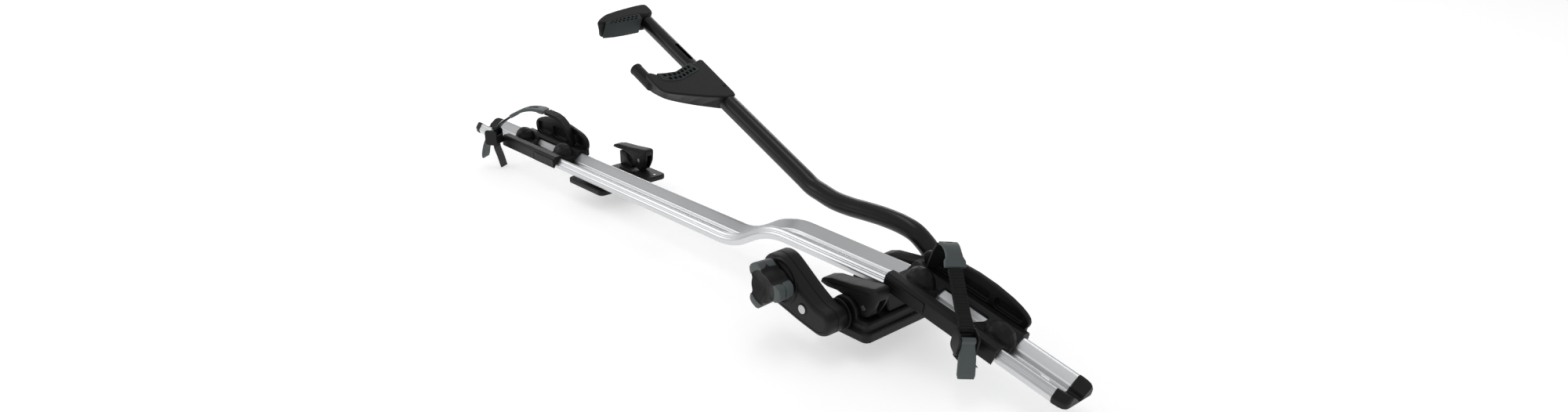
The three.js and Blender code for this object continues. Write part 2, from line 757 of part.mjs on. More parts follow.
function holderPieces(strapLine, low, wingRise, domeShift) {
  const pieces = [];
  // the tray wraps the rail's upper side and both walls
  const traySection = outline([
    [holder.near, low],
    ...railSkin.slice(1, -1),
    [holder.far, low],
    [holder.far, holder.top - 4],
    [holder.far - 4, holder.top],
    [22, holder.top + 0.5],
    [9, 14],
    [-9, 14],
    [-22, holder.top + 0.5],
    [holder.near + 4, holder.top],
    [holder.near, holder.top - 4],
  ]);
  const tray = alongX(traySection, 0, holder.length);
  const window = alongZ(outline([[54, -18], [124, -18], [140, 16], [62, 16]]), -2, 60);
  const dome = (x) => new THREE.SphereGeometry(holder.domeRadius, 16, 10)
    .scale(1, 0.8, 1)
    .translate(x, 0, holder.domeTop - holder.domeRadius);
  const underRail = alongX(outline([[-60, -40], ...railSkin, [60, -40]]), -40, 240);
  const domeAt = [holder.domeInset + domeShift, holder.length - holder.domeInset + domeShift];
  const domes = domeAt.map((x) => cut(dome(x), underRail));
  pieces.push(['tray', cut(join(tray, ...domes), window), blackPlastic]);

  pieces.push(['plate', alongY(
    roundedBox(1, 2, holder.plate, holder.top - 5, 2),
    holder.near - gap - holder.plateDepth,
    holder.near - gap,
    0.4,
    2,
  ), blackPlastic]);

  const wingShape = new THREE.Shape();
  wingShape.moveTo(4, 8);
  wingShape.lineTo(4, 20);
  wingShape.quadraticCurveTo(-2, 28 * wingRise, 2, 38 * wingRise);
  wingShape.quadraticCurveTo(8, 47 * wingRise, 26, 51 * wingRise);
  wingShape.quadraticCurveTo(95, 66 * wingRise, 150, 54 * wingRise);
  wingShape.quadraticCurveTo(184, 46 * wingRise, 185, 34 * wingRise);
  wingShape.quadraticCurveTo(185, 26 * wingRise, 182, 20);
  wingShape.lineTo(182, 8);
  const wingInner = holder.far + gap;
  const pockets = [[12, 62], [72, 118], [128, 174]].map(([a, b]) => alongY(
    roundedBox(a, 22, b, 42 * wingRise, 5),
    wingInner - 5,
    wingInner + holder.wing - 3,
    0,
    2,
  ));
  pieces.push(['wing', cut(
    alongY(wingShape, wingInner, wingInner + holder.wing, 1.5, 4),
    ...pockets,
  ), blackPlastic]);

  // the strap runs in an upright plane that crosses the tray on the skew
  const { from, to, anchor, link, ratchet, drift, buckle, handle } = strapLine;
  const turn = Math.atan2(to[1] - from[1], to[0] - from[0]);
  const set = (geometry) => geometry.rotateZ(turn).translate(from[0], from[1], 0);
  const behindWing = alongZ(outline([[-30, holder.far], [220, holder.far], [220, 90], [-30, 90]]), 0, 62);
  pieces.push(['strap_anchor', cut(set(band(anchor, 5, strap.width - 2, 8)), behindWing), rubber]);
  pieces.push(['strap_link', set(band(link, strap.padThickness, strap.width + 3, 8)), greyPlastic]);
  const toothed = band(ratchet, strap.thickness, strap.width - 7, 18);
  pieces.push(['ratchet_strap', set(driftBelow(toothed, ...drift)), blackPlastic]);
  const w = strap.buckleWidth / 2;
  const [bx, bz] = buckle;
  const cheeks = [-1, 1].map((side) => alongY(
    roundedBox(bx - 13, bz - 17, bx + 13, bz + 13, 6),
    side > 0 ? w - 3 : -w,
    side > 0 ? w : -w + 3,
    0,
    3,
  ));
  const floor = alongY(roundedBox(bx - 13, bz - 15, bx - 9, bz + 3, 1.5), -w + 2, w - 2, 0, 2);
  const axle = [bx + 7, bz + 5];
  const axlePin = pinY(...axle, strap.axle, -w + 1, w - 1, 12);
  const trayRoom = alongZ(outline([
    [-20, holder.near - gap],
    [220, holder.near - gap],
    [220, 0],
    [-20, 0],
  ]), -60, 90);
  pieces.push(['buckle', cut(set(join(cheeks[0], cheeks[1], floor, axlePin)), trayRoom), blackPlastic]);
  const hubHalf = w - 3 - 2 * gap;
  pieces.push(['buckle_lever', set(cut(
    join(
      band(handle, 5, strap.buckleWidth - 9, 6),
      pinY(...axle, strap.axle + 2.6, -hubHalf, hubHalf, 16),
    ),
    pinY(...axle, strap.axle + gap, -w, w, 12),
  )), greyPlastic]);
  return pieces;
}

// lines are [distance from the anchor along the strap's plane, height above the rail's underside]
const rearStrap = {
  from: [38, 33],
  to: [186, -50],
  anchor: [[0, 24.5], [5, 40], [15, 60], [30, 76], [54, 84]],
  link: [[56, 85], [75, 88.5], [95, 86.5], [114, 79.5], [130, 70]],
  ratchet: [[132, 69], [146, 60], [161, 48], [171, 35], [173, 18], [172, 0], [170, -20], [169, -42]],
  drift: [1, 0.3],
  buckle: [176, 25],
  handle: [[183, 30], [190, 16], [197, -3], [201, -22]],
};
const frontStrap = {
  from: [27, 33],
  to: [151, -50],
  anchor: [[0, 24.5], [2, 40], [7, 58], [14, 71]],
  link: [[16, 73.5], [26, 80], [40, 81.5], [54, 78], [66, 69]],
  ratchet: [[68, 67.5], [88, 58], [105, 50], [125, 42], [144, 35], [152, 22], [153, 4], [152, -24]],
  drift: [-5, 0.95],
  buckle: [156, 21],
  handle: [[163, 26], [171, 12], [179, -3], [186, -16]],
};

function addHolder(prefix, group, pieces, flip) {
  for (const [name, geometry, material] of pieces) {
    add(`${prefix}_${name}`, flip ? mirrored(geometry) : geometry, material, group);
  }
}
const frontHolder = new THREE.Group();
frontHolder.rotation.y = rad(rail.noseAngle);
frontHolder.position.set(
  noseStart.x + holder.noseOffset * Math.cos(rad(rail.noseAngle)),
  0,
  noseStart.z - holder.noseOffset * Math.sin(rad(rail.noseAngle)),
);
model.add(frontHolder);
addHolder(
  'front_holder',
  frontHolder,
  holderPieces(frontStrap, holder.noseSkirt, holder.noseWing, holder.noseDomes),
  false,
);
const rearHolder = new THREE.Group();
rearHolder.position.set(holder.rearX, 0, rail.underside);
model.add(rearHolder);
addHolder('rear_holder', rearHolder, holderPieces(rearStrap, holder.skirt, 1, 0), true);

export default model;
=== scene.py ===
import json
import math

import bmesh
import bpy
import numpy as np
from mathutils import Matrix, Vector

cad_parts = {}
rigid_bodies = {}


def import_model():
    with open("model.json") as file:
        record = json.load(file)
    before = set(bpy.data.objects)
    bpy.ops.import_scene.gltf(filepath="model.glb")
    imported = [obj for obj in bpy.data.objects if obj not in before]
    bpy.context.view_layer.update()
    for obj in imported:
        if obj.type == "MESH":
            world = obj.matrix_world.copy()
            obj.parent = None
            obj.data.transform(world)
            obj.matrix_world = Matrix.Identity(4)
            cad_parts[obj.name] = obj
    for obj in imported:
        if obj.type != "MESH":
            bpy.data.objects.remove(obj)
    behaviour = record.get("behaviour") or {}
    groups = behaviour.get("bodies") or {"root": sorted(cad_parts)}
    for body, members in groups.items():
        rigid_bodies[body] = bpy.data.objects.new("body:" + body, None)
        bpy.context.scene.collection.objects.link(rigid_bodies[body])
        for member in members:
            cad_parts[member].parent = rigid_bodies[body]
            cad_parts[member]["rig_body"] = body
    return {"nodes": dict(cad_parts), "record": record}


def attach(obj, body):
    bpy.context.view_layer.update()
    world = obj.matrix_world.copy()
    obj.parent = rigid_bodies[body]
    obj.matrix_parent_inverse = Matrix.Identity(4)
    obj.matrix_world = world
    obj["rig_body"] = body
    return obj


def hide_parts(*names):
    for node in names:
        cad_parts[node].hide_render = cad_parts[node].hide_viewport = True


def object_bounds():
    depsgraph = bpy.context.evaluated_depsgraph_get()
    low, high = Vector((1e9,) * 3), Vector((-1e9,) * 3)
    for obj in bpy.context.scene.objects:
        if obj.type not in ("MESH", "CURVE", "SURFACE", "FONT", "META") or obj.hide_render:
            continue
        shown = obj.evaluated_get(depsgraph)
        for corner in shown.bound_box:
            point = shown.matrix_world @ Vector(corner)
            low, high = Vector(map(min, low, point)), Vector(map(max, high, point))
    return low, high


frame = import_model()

cadBox = [list(corner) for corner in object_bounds()]
slotOf = {part["node"]: part["material_slot"] for part in frame["record"]["subparts"]}
bodyOf = {node: obj["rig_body"] for node, obj in frame["nodes"].items()}
millimetre = 0.001


def linked(name, data):
    thing = bpy.data.objects.new(name, data)
    bpy.context.scene.collection.objects.link(thing)
    return thing


# ---- camera, floor and light ----
studio = {
    "camera": (0.95319, -1.06185, 0.71922),
    "looks": (-0.6866, 0.6291, -0.3645),
    "lens": 25.83,
    "floorHalf": 14.0,
    "floorGap": 0.002,
    "floorTone": 0.8,
    "floorGlow": 0.50,
    "sky": 0.52,
}


def makeCamera():
    data = bpy.data.cameras.new("camera")
    data.lens = studio["lens"]
    data.sensor_width = 36
    data.clip_start = 0.01
    data.clip_end = 60
    camera = linked("camera", data)
    camera.location = studio["camera"]
    camera.rotation_euler = Vector(studio["looks"]).to_track_quat("-Z", "Y").to_euler()
    bpy.context.scene.camera = camera


def makeLight(name, place, aim, size, power):
    data = bpy.data.lights.new(name, "AREA")
    data.shape = "RECTANGLE"
    data.size, data.size_y = size
    data.energy = power
    light = linked(name, data)
    light.location = place
    light.rotation_euler = (Vector(aim) - Vector(place)).to_track_quat("-Z", "Y").to_euler()


makeCamera()
makeLight("keyPanel", (-2.6, -2.0, 1.55), (-0.4, 0, 0.05), (2.6, 1.0), 15)
makeLight("rimPanel", (-2.3, 1.9, 1.15), (-0.4, 0, 0.1), (2.6, 0.6), 15)
makeLight("topPanel", (-0.3, 0.1, 2.4), (-0.4, 0, 0.1), (1.6, 0.5), 5)


# ---- shader maths: a wrapped socket, with an operator for each kind of sum ----
class Value:
    def __init__(self, tree, socket=None):
        self.tree = tree
        self.socket = socket

    # any node: its type, its settings, then the values or links of its sockets
    def node(self, kind, settings=None, values=None, out=0):
        made = self.tree.nodes.new(kind)
        for key, setting in (settings or {}).items():
            if key == "stops":
                ramp = made.color_ramp
                while len(ramp.elements) < len(setting):
                    ramp.elements.new(0.5)
                for element, (at, tone) in zip(ramp.elements, setting):
                    element.position = at
                    element.color = (*tone, 1)
            else:
                setattr(made, key, setting)
        for key, value in (values or {}).items():
            if isinstance(value, Value):
                self.tree.links.new(value.socket, made.inputs[key])
            else:
                made.inputs[key].default_value = value
        return Value(self.tree, made.outputs[out])

    def sum(self, operation, other):
        return self.node("ShaderNodeMath", {"operation": operation}, {0: self, 1: other})

    def __add__(self, other):
        return self.sum("ADD", other)

    __radd__ = __add__

    def __mul__(self, other):
        return self.sum("MULTIPLY", other)

    __rmul__ = __mul__

    def power(self, exponent):
        return self.sum("POWER", exponent)

    def mix(self, low, high):
        low, high = (tone if isinstance(tone, tuple) else (tone,) * 3 for tone in (low, high))
        return self.node("ShaderNodeMix", {"data_type": "RGBA"}, {0: self, 6: (*low, 1), 7: (*high, 1)}, 2)


def newMaterial(name, **constants):
    material = bpy.data.materials.new(name)
    material.use_nodes = True
    tree = material.node_tree
    shader = tree.nodes["Principled BSDF"]
    for key, value in constants.items():
        shader.inputs[key.replace("_", " ")].default_value = value
    start = Value(tree)
    place = start.node("ShaderNodeTexCoord", out=3)
    return material, start, shader, place


def stretched(start, place, scale):
    return start.node("ShaderNodeMapping", None, {0: place, 3: scale})


def noise(start, place, scale, detail=4.0, roughness=0.55):
    return start.node(
        "ShaderNodeTexNoise", None, {0: place, "Scale": scale, "Detail": detail, "Roughness": roughness}
    )


def bump(start, height, distance, strength=1.0):
    return start.node(
        "ShaderNodeBump", None, {"Height": height, "Distance": distance, "Strength": strength}
    )


def feed(shader, **values):
    for key, value in values.items():
        value.tree.links.new(value.socket, shader.inputs[key.replace("_", " ")])


# satin anodised extrusion: fine die lines along X, slow clouding, a few faint rubs
def makeAluminium():
    material, start, shader, place = newMaterial("satinAluminium", Metallic=1.0)
    dieLines = noise(start, stretched(start, place, (1.2, 900, 900)), 1.0, 3.0)
    clouds = noise(start, place, 9.0, 3.0)
    rubs = noise(start, stretched(start, place, (14, 160, 160)), 1.0, 5.0, 0.7)
    feed(shader, Base_Color=clouds.mix((0.60, 0.61, 0.62), (0.70, 0.71, 0.72)))
    feed(shader, Roughness=0.24 + dieLines * 0.10 + rubs * 0.08)
    feed(shader, Normal=bump(start, dieLines, 0.00003, 0.35))
    return material


# moulded plastic or rubber: spark-eroded grain, slow tone change, handling shine
def makePlastic(name, tone, lighter, roughness, grain, grainDepth, specular):
    material, start, shader, place = newMaterial(name, Specular_IOR_Level=specular)
    speckle = noise(start, place, grain, 3.0, 0.6)
    clouds = noise(start, place, 26.0, 4.0)
    handled = noise(start, place, 70.0, 6.0, 0.7)
    mask = (clouds * 0.7 + handled * 0.3).power(1.6)
    feed(shader, Base_Color=mask.mix(tone, lighter))
    feed(shader, Roughness=roughness - 0.10 + handled * 0.14 + speckle * 0.08)
    feed(shader, Normal=bump(start, speckle, grainDepth, 0.6))
    return material


# powder-coated tube: a slightly rippled gloss skin with dust-fine flecks
def makeCoat():
    material, start, shader, place = newMaterial(
        "blackTubeCoat", Specular_IOR_Level=0.3, Coat_Weight=0.12, Coat_Roughness=0.14
    )
    ripple = noise(start, place, 420.0, 2.0)
    clouds = noise(start, place, 18.0, 4.0)
    flecks = noise(start, place, 1500.0, 1.0).power(6.0)
    feed(shader, Base_Color=flecks.mix((0.0045, 0.0045, 0.005), (0.02, 0.02, 0.021)))
    feed(shader, Roughness=0.26 + clouds * 0.10)
    feed(shader, Normal=bump(start, ripple, 0.00006, 0.5))
    return material


# zinc-plated steel: turning lines round the part and a soft sheen
def makeSteel():
    material, start, shader, place = newMaterial("zincSteel", Metallic=1.0)
    turned = noise(start, stretched(start, place, (1500, 60, 1500)), 1.0, 2.0)
    clouds = noise(start, place, 220.0, 3.0)
    feed(shader, Base_Color=clouds.mix((0.42, 0.42, 0.43), 0.62))
    feed(shader, Roughness=0.26 + turned * 0.14)
    feed(shader, Normal=bump(start, turned, 0.00002, 0.3))
    return material


materials = {
    "satin_aluminium": makeAluminium(),
    "black_plastic": makePlastic(
        "blackPlastic", (0.0055, 0.0057, 0.006), (0.0095, 0.0098, 0.0102), 0.44, 1900, 0.00006, 0.24
    ),
    "black_tube": makeCoat(),
    "black_rubber": makePlastic(
        "blackRubber", (0.006, 0.0062, 0.0064), (0.011, 0.0114, 0.0118), 0.62, 1200, 0.00008, 0.2
    ),
    "jaw_rubber": makePlastic(
        "jawRubber", (0.022, 0.028, 0.028), (0.033, 0.041, 0.041), 0.6, 1300, 0.00008, 0.25
    ),
    "grey_plastic": makePlastic(
        "greyPlastic", (0.070, 0.083, 0.085), (0.092, 0.107, 0.109), 0.46, 1900, 0.00005, 0.3
    ),
    "bright_steel": makeSteel(),
}
print("materials made")


def makeFloor():
    material, start, shader, place = newMaterial("floorPaint", Roughness=0.9)
    mottle = noise(start, place, 3.0, 3.0)
    tone = studio["floorTone"]
    feed(shader, Base_Color=mottle.mix(tone, tone * 1.02))
    shader.inputs["Emission Color"].default_value = (1, 1, 1, 1)
    shader.inputs["Emission Strength"].default_value = studio["floorGlow"]
    half = studio["floorHalf"]
    low = cadBox[0][2] - studio["floorGap"]
    mesh = bpy.data.meshes.new("floor")
    corners = [(-half, -half, low), (half, -half, low), (half, half, low), (-half, half, low)]
    mesh.from_pydata(corners, [], [(0, 1, 2, 3)])
    mesh.materials.append(material)
    linked("floor", mesh)


makeFloor()
world = bpy.data.worlds.new("softSky")
world.use_nodes = True
world.node_tree.nodes["Background"].inputs[0].default_value = (1, 1, 1, 1)
world.node_tree.nodes["Background"].inputs[1].default_value = studio["sky"]
bpy.context.scene.world = world
bpy.context.scene.view_settings.view_transform = "Standard"


# ---- making pieces ----
def newPiece(name, vertices, faces, node=None, **kept):
    mesh = bpy.data.meshes.new(name)
    mesh.from_pydata(np.asarray(vertices).reshape(-1, 3) * millimetre, [], faces)
    finishPiece(name, mesh, node, **kept)


# smooth shading with creases over the given angle, its material, and its place in the frame
def finishPiece(name, mesh, node=None, body=None, slot=None, sharp=32):
    mesh.validate()
    made = bmesh.new()
    made.from_mesh(mesh)
    bmesh.ops.remove_doubles(made, verts=made.verts, dist=1e-6)
    bmesh.ops.recalc_face_normals(made, faces=made.faces)
    made.to_mesh(mesh)
    made.free()
    mesh.shade_smooth()
    mesh.set_sharp_from_angle(angle=math.radians(sharp))
    slot = slot or slotOf[node]
    mesh.materials.clear()
    mesh.materials.append(materials[slot])
    piece = linked(name, mesh)
    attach(piece, body or bodyOf[node])
    if node:
        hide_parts(node)
    return piece


# faces of a grid of rings: each ring's points join the next ring's, closed round the ring
def ringFaces(rings, around, capEnds=True):
    i = np.arange((rings - 1) * around).reshape(rings - 1, around)
    j = np.roll(i, -1, axis=1)
    faces = np.stack([i, j, j + around, i + around], axis=-1).reshape(-1, 4).tolist()
    if capEnds:
        faces.append(list(range(around))[::-1])
        faces.append(list(range((rings - 1) * around, rings * around)))
    return faces


# each corner is swapped for a short curve: (1-s)^2 A + 2s(1-s) P + s^2 B, with A and B on its two sides
def rounded(points, radius, steps=5):
    p = np.asarray(points, float)
    before = np.roll(p, 1, axis=0) - p
    after = np.roll(p, -1, axis=0) - p
    lengthBefore = np.linalg.norm(before, axis=1, keepdims=True)
    lengthAfter = np.linalg.norm(after, axis=1, keepdims=True)
    wanted = np.broadcast_to(np.asarray(radius, float).reshape(-1, 1), lengthBefore.shape)
    reach = np.minimum(wanted, 0.45 * np.minimum(lengthBefore, lengthAfter))
    a = p + before / lengthBefore * reach
    b = p + after / lengthAfter * reach
    s = np.linspace(0, 1, steps)[None, :, None]
    curve = (1 - s) ** 2 * a[:, None] + 2 * s * (1 - s) * p[:, None] + s ** 2 * b[:, None]
    return curve.reshape(-1, p.shape[1])


# a rectangle's corners, rounded
def rectangle(x0, y0, x1, y1, radius, steps):
    return rounded(np.array([(x0, y0), (x1, y0), (x1, y1), (x0, y1)], float), radius, steps)


# a smooth line through points: cubic pieces whose end slopes come from the square roots of the gaps
def smoothLine(points, perPiece):
    p = np.asarray(points, float)
    p = np.vstack([2 * p[0] - p[1], p, 2 * p[-1] - p[-2]])
    gaps = np.sqrt(np.linalg.norm(np.diff(p, axis=0), axis=1))[:, None]
    p0, p1, p2, p3 = p[:-3], p[1:-2], p[2:-1], p[3:]
    g0, g1, g2 = gaps[:-2], gaps[1:-1], gaps[2:]
    slope1 = g1 * ((p1 - p0) / g0 - (p2 - p0) / (g0 + g1) + (p2 - p1) / g1)
    slope2 = g1 * ((p2 - p1) / g1 - (p3 - p1) / (g1 + g2) + (p3 - p2) / g2)
    t = np.linspace(0, 1, perPiece, endpoint=False)[None, :, None]
    a, b, c, d = (v[:, None] for v in (p1, p2, slope1, slope2))
    line = (2 * t ** 3 - 3 * t ** 2 + 1) * a + (3 * t ** 2 - 2 * t ** 3) * b
    line = line + (t ** 3 - 2 * t ** 2 + t) * c + (t ** 3 - t ** 2) * d
    return np.vstack([line.reshape(-1, p.shape[1]), p[-2]])


def evenly(line, count):
    along = np.concatenate([[0], np.cumsum(np.linalg.norm(np.diff(line, axis=0), axis=1))])
    at = np.linspace(0, along[-1], count)
    return np.stack([np.interp(at, along, line[:, k]) for k in range(line.shape[1])], axis=1), at


# resamples an object on a fine grid, then relaxes it, so that every edge becomes a small radius
def soften(thing, voxel, relax):
    even = thing.modifiers.new("even", "REMESH")
    even.mode = "VOXEL"
    even.voxel_size = voxel * millimetre
    smooth = thing.modifiers.new("relax", "SMOOTH")
    smooth.factor = 0.5
    smooth.iterations = relax


# an object's mesh with its modifiers applied; the object and its tools are removed
def applied(thing, name, tools=()):
    graph = bpy.context.evaluated_depsgraph_get()
    mesh = bpy.data.meshes.new_from_object(thing.evaluated_get(graph))
    for used in [thing, *tools]:
        bpy.data.objects.remove(used)
    mesh.name = name
    return mesh


# a CAD node's copy with its doubled points merged, and its flats joined where an angle is given
def merged(node, flat=None):
    mesh = frame["nodes"][node].data.copy()
    made = bmesh.new()
    made.from_mesh(mesh)
    bmesh.ops.remove_doubles(made, verts=made.verts, dist=1e-6)
    if flat:
        bmesh.ops.dissolve_limit(made, angle_limit=math.radians(flat), verts=made.verts, edges=made.edges)
    made.to_mesh(mesh)
    made.free()
    return mesh


# ---- moulded pieces: a node's merged copy, softened ----
def moulded(node, voxel, relax):
    name = camel(node)
    source = linked(name + "Source", merged(node))
    soften(source, voxel, relax)
    finishPiece(name, applied(source, name), node, sharp=180)


# ---- crisp pieces: the same copy with a small bevel on each edge ----
edge = {"flat": 1.0, "sharp": 34, "width": 0.3}


def crisp(node):
    piece = finishPiece(camel(node), merged(node, edge["flat"]), node, sharp=edge["sharp"])
    bevel = piece.modifiers.new("edge", "BEVEL")
    bevel.width = edge["width"] * millimetre
    bevel.segments = 2
    bevel.limit_method = "ANGLE"
    bevel.angle_limit = math.radians(edge["sharp"])


def camel(node):
    first, *rest = node.split("_")
    return first + "".join(word.capitalize() for word in rest)


# ---- rail: one extruded section carried along straight runs and arcs ----
rail = {
    "rearEnd": -1096.0, "bendStart": -328.0, "underside": 16.0, "rise": 46.8,
    "bendAngle": 29.5, "bendRadius": 137.0, "midSlope": 0.9,
    "noseBend": 58.0, "noseAngle": 12.6, "noseRadius": 100.0, "noseRun": 250.0,
    "halfWidth": 31.8, "height": 18.6, "ridge": 23.5, "shoulder": 7.6,
    "valley": 4.5, "lip": 6.8, "lipHeight": 7.4, "wall": 2.2,
    "groove": 0.55, "grooveHalf": 0.55, "grooves": (0.40, 0.66),
    "drain": (15.0, 7.0), "drainFromEnd": 24.0, "drainReach": (-6.0, 12.0),
}


# points and slopes: on a run of slope a, x = x0 + s cos a; on an arc, x = x0 + (sin a1 - sin a0) / curvature
def railLine():
    up, mid, nose = (math.radians(v) for v in (rail["bendAngle"], -rail["midSlope"], -rail["noseAngle"]))
    radius, small = rail["bendRadius"], rail["noseRadius"]
    lift = radius * (1 - math.cos(up)) + radius * (math.cos(mid) - math.cos(up))
    tangent = small * math.tan((mid - nose) / 2)
    ramp = (rail["rise"] - lift) / math.sin(up)
    reached = rail["bendStart"] + radius * math.sin(up) + ramp * math.cos(up)
    reached += radius * (math.sin(up) - math.sin(mid))
    pieces = [
        (rail["bendStart"] - rail["rearEnd"], 0.0, 0.0, 40),
        (radius * up, 0.0, up, 20),
        (ramp, up, up, 6),
        (radius * (up - mid), up, mid, 22),
        ((rail["noseBend"] - tangent - reached) / math.cos(mid), mid, mid, 20),
        (small * (mid - nose), mid, nose, 8),
        (rail["noseRun"] - tangent, nose, nose, 24),
    ]
    x, z = rail["rearEnd"], rail["underside"]
    rows = [np.array([[x, z, 0.0]])]
    for length, first, last, steps in pieces:
        s = np.linspace(0, length, steps + 1)[1:]
        bend = (last - first) / length
        slope = first + bend * s
        if abs(bend) < 1e-9:
            px, pz = x + s * math.cos(first), z + s * math.sin(first)
        else:
            px = x + (np.sin(slope) - math.sin(first)) / bend
            pz = z - (np.cos(slope) - math.cos(first)) / bend
        rows.append(np.stack([px, pz, slope], axis=1))
        x, z = px[-1], pz[-1]
    return np.vstack(rows)


def railSection():
    r = rail
    slopeTop = np.array([r["ridge"] + 2, r["height"] - 1.3])
    slopeFoot = np.array([r["halfWidth"] - 0.5, r["shoulder"] + 1.5])
    inward = np.array([-0.79, -0.61])

    def groove(share):
        middle = slopeTop + (slopeFoot - slopeTop) * share
        along = (slopeFoot - slopeTop) / np.linalg.norm(slopeFoot - slopeTop) * r["grooveHalf"]
        return [middle - along, middle + inward * r["groove"], middle + along]

    upper = [
        (r["valley"], r["wall"]),
        (r["lip"], r["lipHeight"]),
        (r["lip"] + 2.4, r["lipHeight"] + 1.5),
        (r["ridge"] - 2.8, r["height"] - 1.2),
        (r["ridge"], r["height"]),
        tuple(slopeTop),
        *(tuple(point) for share in r["grooves"] for point in groove(share)),
        tuple(slopeFoot),
        (r["halfWidth"], r["shoulder"]),
        (r["halfWidth"] - 1.2, 0),
    ]
    lower = [
        (r["halfWidth"] - 7.2, 0),
        (r["halfWidth"] - 7.2, 1.8),
        (r["halfWidth"] - 1.2 - r["wall"], 1.8),
        (r["halfWidth"] - r["wall"], r["shoulder"]),
        (r["ridge"] + 1, r["height"] - 1.3 - r["wall"]),
        (r["ridge"] - 1, r["height"] - 0.6 - r["wall"]),
        (r["lip"] + r["wall"], r["lipHeight"] - 0.6),
        (r["valley"] + r["wall"], 0),
    ]
    half = np.array(upper + lower)
    other = half[::-1] * (-1, 1)
    radii = np.array([1.5, 1.2, 1.2, 1.6, 1.3, 1.3] + [0.25] * 6 + [1.4, 1.4, 0.8] + [0.4] * 8)
    return rounded(np.vstack([half, other]), np.concatenate([radii, radii[::-1]]), 4)


def carry(line, section):
    y, h = section[:, 0], section[:, 1]
    x, z, slope = (line[:, k][:, None] for k in range(3))
    across = np.broadcast_to(y, (len(line), len(y)))
    return np.stack([x - h * np.sin(slope), across, z + h * np.cos(slope)], axis=-1)


# the drain hole is a circle with its two halves pulled apart, near the raised end
def makeRail():
    line, section = railLine(), railSection()
    solid = carry(line, section), ringFaces(len(line), len(section))
    x, z, slope = line[-1]
    length, width = rail["drain"]
    half = length / 2 - width / 2
    ends = circle(0, 0, width / 2, 32)
    ends[:, 0] += np.where(ends[:, 0] > 0, half, -half) - (rail["drainFromEnd"] + length / 2)
    levels = np.array([np.column_stack([ends, np.full(32, high)]) for high in rail["drainReach"]])
    u, y, h = np.moveaxis(levels, -1, 0)
    c, s = math.cos(slope), math.sin(slope)
    hole = np.stack([x + u * c - h * s, y, z + u * s + h * c], axis=-1)
    sculpted("railProfile", [solid], "rail", [[(hole, ringFaces(2, 32))]], sharp=50)


# ---- tubes: a circle carried along a line, square to it, with a bored end ----
def tubeRings(line, radius, wall, sides):
    tangent = np.gradient(line, axis=0)
    tangent /= np.linalg.norm(tangent, axis=1, keepdims=True)
    across = np.array([0.0, 1.0, 0.0]) - tangent * tangent[:, 1:2]
    across /= np.linalg.norm(across, axis=1, keepdims=True)
    up = np.cross(tangent, across)
    turn = np.linspace(0, 2 * np.pi, sides, endpoint=False)
    ring = np.cos(turn)[None, :, None] * across[:, None] + np.sin(turn)[None, :, None] * up[:, None]
    outer = line[:, None] + ring * radius
    inner = (line[:, None] + ring * (radius - wall))[::-1]
    frontLip = line[-1] + ring[-1] * (radius - arm["lip"])
    outer[-1] = line[-1] - tangent[-1] * arm["lip"] + ring[-1] * radius
    rings = np.vstack([outer, frontLip[None], inner])
    return rings, tubeFaces(len(rings), sides)


def tubeFaces(rings, around):
    faces = ringFaces(rings, around, False)
    i = np.arange((rings - 1) * around, rings * around)
    j = np.arange(around)
    faces += np.stack([i, np.roll(i, -1), np.roll(j, -1), j], axis=-1).tolist()
    return faces


arm = {
    "angle": 24.5, "pivotHeight": 30.0, "radius": 14.7, "wall": 1.4, "side": 70.0, "drop": 12.9,
    "elbow": 232.0, "end": 541.0, "jaw": 455.0, "lip": 0.35,
    "neck": [
        (0, 33, 14), (0, 33, 20), (-0.5, 33, 26), (-5, 33, 36), (-16, 32, 46), (-31, 29, 57),
        (-53, 25, 64), (-84, 19, 68.5), (-114, 13, 70), (-142, 8, 70.5), (-171, 3, 73.5), (-198, 0.6, 80),
    ],
}
sliderSize = {
    "radius": 12.5, "wall": 1.5, "inner": 446.0, "outer": 716.0,
    "slot": (561.0, 607.0), "slotHalf": 3.5, "slotFloor": 3.0,
}


# arm points: u along the arm, y as in the frame, h square to the arm, turned up by the rest angle
def onArm(u, y, h):
    c, s = math.cos(math.radians(arm["angle"])), math.sin(math.radians(arm["angle"]))
    u, y, h = np.broadcast_arrays(np.asarray(u, float), np.asarray(y, float), np.asarray(h, float))
    return np.stack([-u * c + h * s, y, arm["pivotHeight"] + u * s + h * c], axis=-1)


# the same from the axis of the arm's straight run; points hold u, y and h in their last row
def onRun(points):
    return onArm(points[..., 0], arm["side"] + points[..., 1], points[..., 2] - arm["drop"])


def makeTubes():
    neck = np.array([(x, arm["side"] + y, arm["pivotHeight"] + z) for x, y, z in arm["neck"]], float)
    along = np.array([arm["elbow"], arm["elbow"] + 25, arm["end"] - 20, arm["end"]])
    run = onArm(along, arm["side"], -arm["drop"])
    line, _ = evenly(smoothLine(np.vstack([neck, run]), 24), 300)
    newPiece("armTube", *tubeRings(line, arm["radius"], arm["wall"], 48), "arm_tube")
    u = np.linspace(sliderSize["inner"], sliderSize["outer"], 80)
    line = onArm(u, arm["side"], -arm["drop"])
    first, last = sliderSize["slot"]
    half, over = sliderSize["slotHalf"], sliderSize["radius"] + 5
    slot = cutter(onRun, rectangle(first, -half, last, half, half - 0.1, 8), sliderSize["slotFloor"], over)
    solid = tubeRings(line, sliderSize["radius"], sliderSize["wall"], 44)
    sculpted("sliderTube", [solid], "slider_tube", [[slot]])


# ---- holders: u along the holder from its inner end, y as in the frame, h above its floor ----
holder = {"rearX": -801.0, "rearHeight": 16.0, "noseAngle": 12.6, "noseOrigin": (30.913, 0.0, 65.258)}


